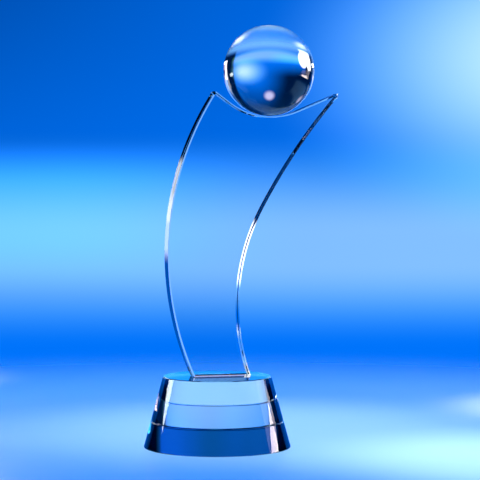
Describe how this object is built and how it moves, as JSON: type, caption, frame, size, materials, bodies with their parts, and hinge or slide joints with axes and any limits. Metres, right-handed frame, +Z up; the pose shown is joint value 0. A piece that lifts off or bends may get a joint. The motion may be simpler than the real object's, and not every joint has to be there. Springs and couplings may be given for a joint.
{
  "type": "crystal award",
  "caption": "Crystal award: a solid ball seated in the notched top of a tall curved clear plate, on a round tapered base with a clear layer over a blue layer.",
  "frame": {"origin": "centre of the base's flat underside, on the base's axis", "axes": "+Z up along the base's axis, +X along the plate towards its longer tip, Y across the plate's thickness"},
  "size_m": [0.1301, 0.097, 0.2783],
  "materials": {
    "clear_crystal": "water-clear optical crystal, ground and polished to a mirror surface",
    "blue_crystal": "translucent cobalt-blue crystal, ground and polished to a mirror surface",
    "clear_adhesive": "clear cured ultraviolet adhesive in a thin film"
  },
  "bodies": {
    "root": {"blue_base": "blue_crystal", "base_bond": "clear_adhesive", "clear_base": "clear_crystal", "plate_bond": "clear_adhesive", "curved_plate": "clear_crystal", "ball_bond": "clear_adhesive", "crystal_ball": "clear_crystal"}
  },
  "joints": []
}
